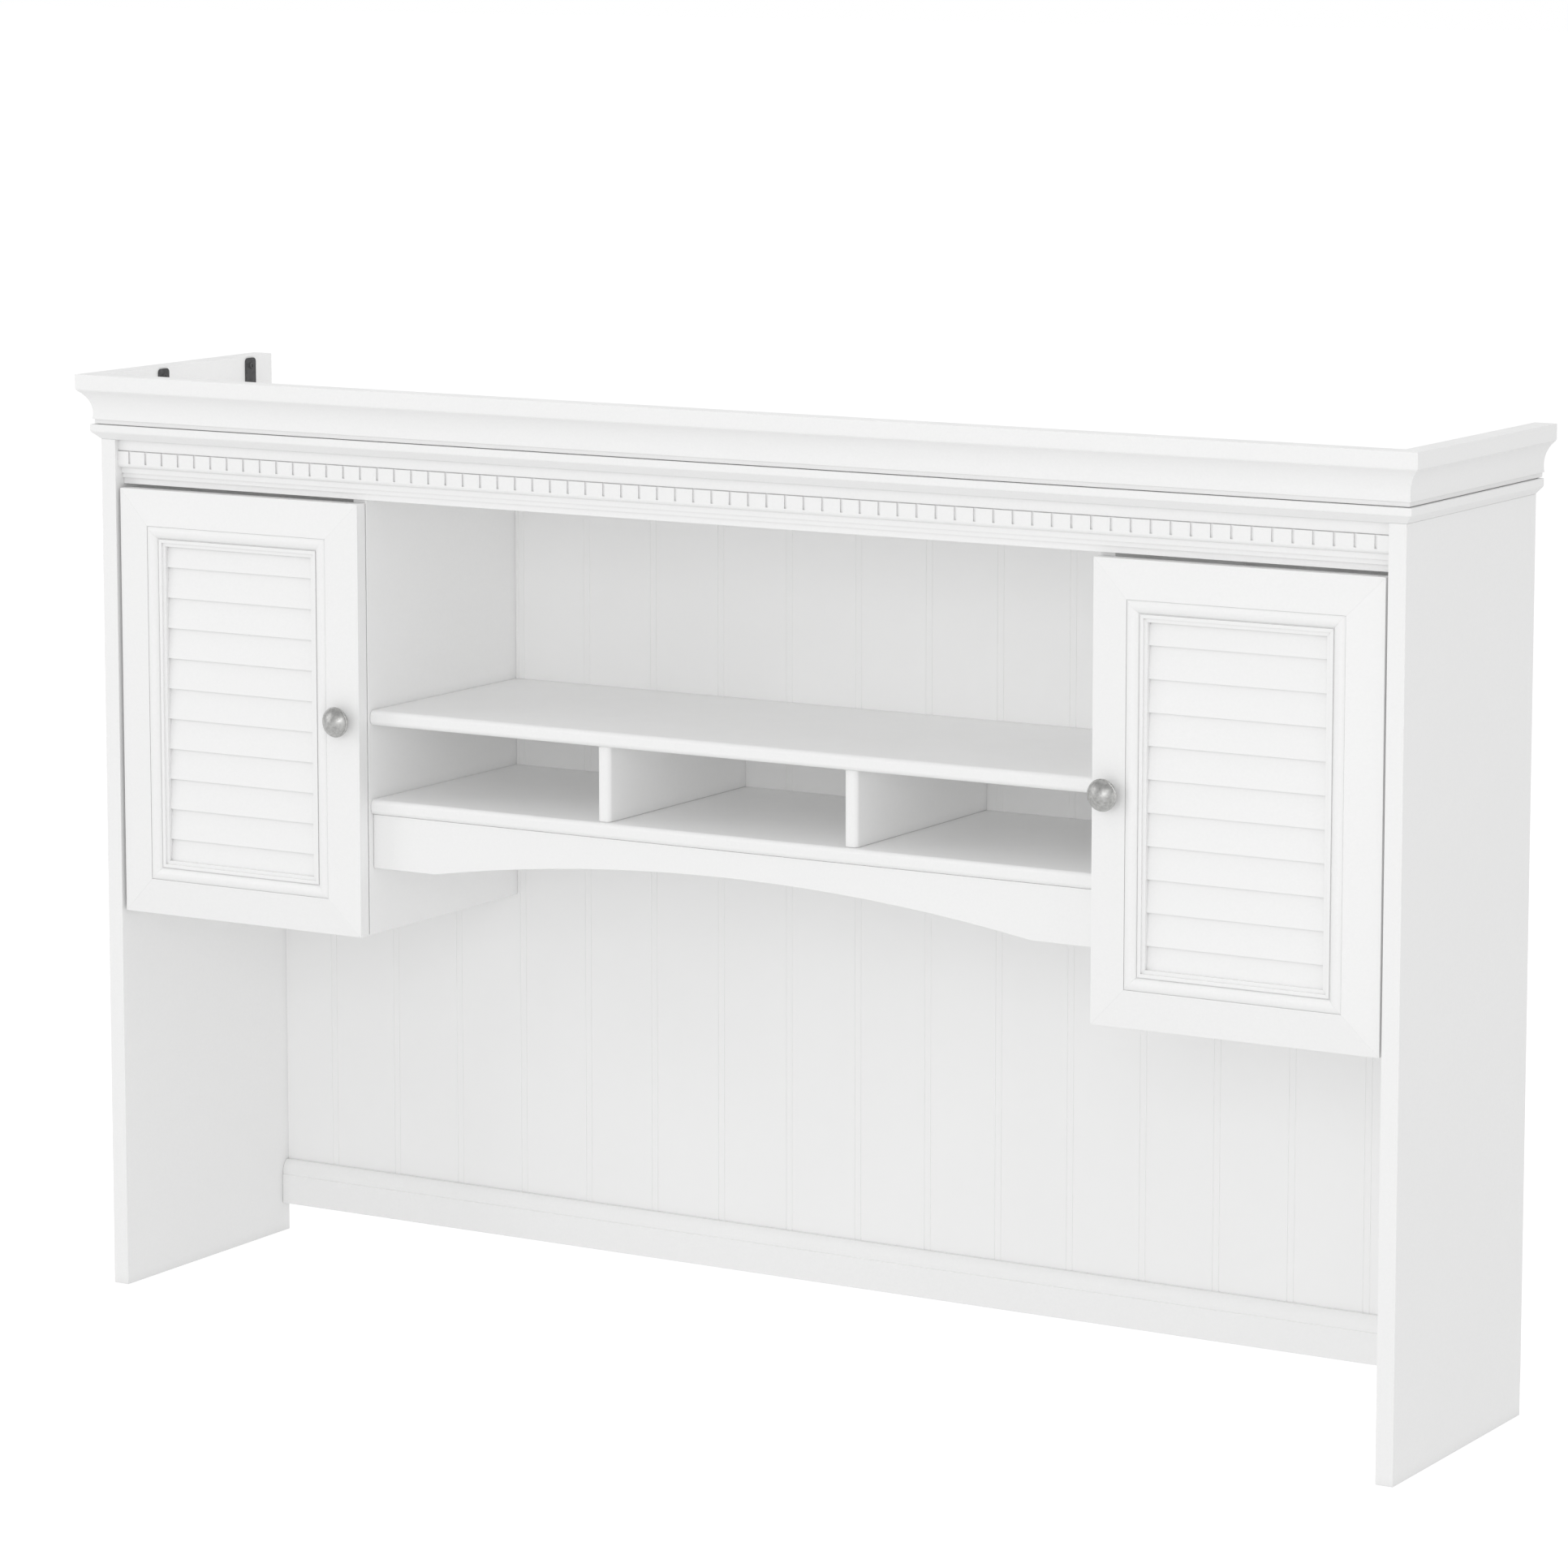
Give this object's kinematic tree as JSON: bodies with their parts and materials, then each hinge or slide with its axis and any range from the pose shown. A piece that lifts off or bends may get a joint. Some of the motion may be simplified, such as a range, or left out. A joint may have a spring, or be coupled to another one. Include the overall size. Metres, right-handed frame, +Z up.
{
  "type": "desk hutch",
  "caption": "White desk hutch: louvred-door cabinets either side of open shelving and pigeonholes, beaded back, arched apron, dentil frieze and crown.",
  "frame": {"origin": "centre of the object's box, on the plane that the side panels stand on", "axes": "+X to the right across the width, +Y from the doors towards the back, +Z up"},
  "size_m": [1.462, 0.3014, 0.927],
  "materials": {
    "white_board": "satin white laminate and paint over board",
    "back_board": "satin white beaded board",
    "pewter": "antique pewter, softly mottled",
    "hinge_steel": "nickel-plated steel",
    "zinc": "zinc-plated",
    "black_metal": "black powder coat",
    "pad": "clear soft pad"
  },
  "bodies": {
    "carcass": {"arched_apron": "white_board", "back_panel": "back_board", "base_rail": "white_board", "bracket_screws": "black_metal", "cam_locks": "zinc", "crown_brackets": "black_metal", "crown_front": "white_board", "crown_left_return": "white_board", "crown_right_return": "white_board", "frieze_rail": "white_board", "left_adjustable_shelf": "white_board", "left_cabinet_bottom": "white_board", "left_divider": "white_board", "left_hinge_arms": "hinge_steel", "left_partition": "white_board", "left_side_panel": "white_board", "lower_shelf": "white_board", "right_adjustable_shelf": "white_board", "right_cabinet_bottom": "white_board", "right_divider": "white_board", "right_hinge_arms": "hinge_steel", "right_partition": "white_board", "right_side_panel": "white_board", "shelf_pins": "zinc", "top_board": "white_board", "upper_shelf": "white_board"},
    "left_hinge_link_pair": {"left_hinge_links": "hinge_steel"},
    "left_door": {"left_door_hinge_stile": "white_board", "left_door_latch_stile": "white_board", "left_door_top_rail": "white_board", "left_door_bottom_rail": "white_board", "left_door_louvre_panel": "white_board", "left_knob": "pewter", "left_knob_screw": "zinc", "left_door_bumpers": "pad", "left_hinge_cups": "hinge_steel"},
    "right_hinge_link_pair": {"right_hinge_links": "hinge_steel"},
    "right_door": {"right_door_hinge_stile": "white_board", "right_door_latch_stile": "white_board", "right_door_top_rail": "white_board", "right_door_bottom_rail": "white_board", "right_door_louvre_panel": "white_board", "right_knob": "pewter", "right_knob_screw": "zinc", "right_door_bumpers": "pad", "right_hinge_cups": "hinge_steel"}
  },
  "joints": [
    {"name": "left_link_swing", "type": "hinge", "parent": "carcass", "child": "left_hinge_link_pair", "pos_m": [-0.661, -0.10433, 0.6001], "axis": [0, 0, 1], "range_deg": [0, 66]},
    {"name": "left_door_swing", "type": "hinge", "parent": "left_hinge_link_pair", "child": "left_door", "pos_m": [-0.6898, -0.11232, 0.6001], "axis": [0, 0, -1], "range_deg": [0, 165]},
    {"name": "right_link_swing", "type": "hinge", "parent": "carcass", "child": "right_hinge_link_pair", "pos_m": [0.661, -0.10433, 0.6001], "axis": [0, 0, -1], "range_deg": [0, 66]},
    {"name": "right_door_swing", "type": "hinge", "parent": "right_hinge_link_pair", "child": "right_door", "pos_m": [0.6898, -0.11232, 0.6001], "axis": [0, 0, 1], "range_deg": [0, 165]}
  ],
  "couplings": [
    {"joint": "left_link_swing", "follows": "left_door_swing", "ratio": 0.4},
    {"joint": "right_link_swing", "follows": "right_door_swing", "ratio": 0.4}
  ]
}
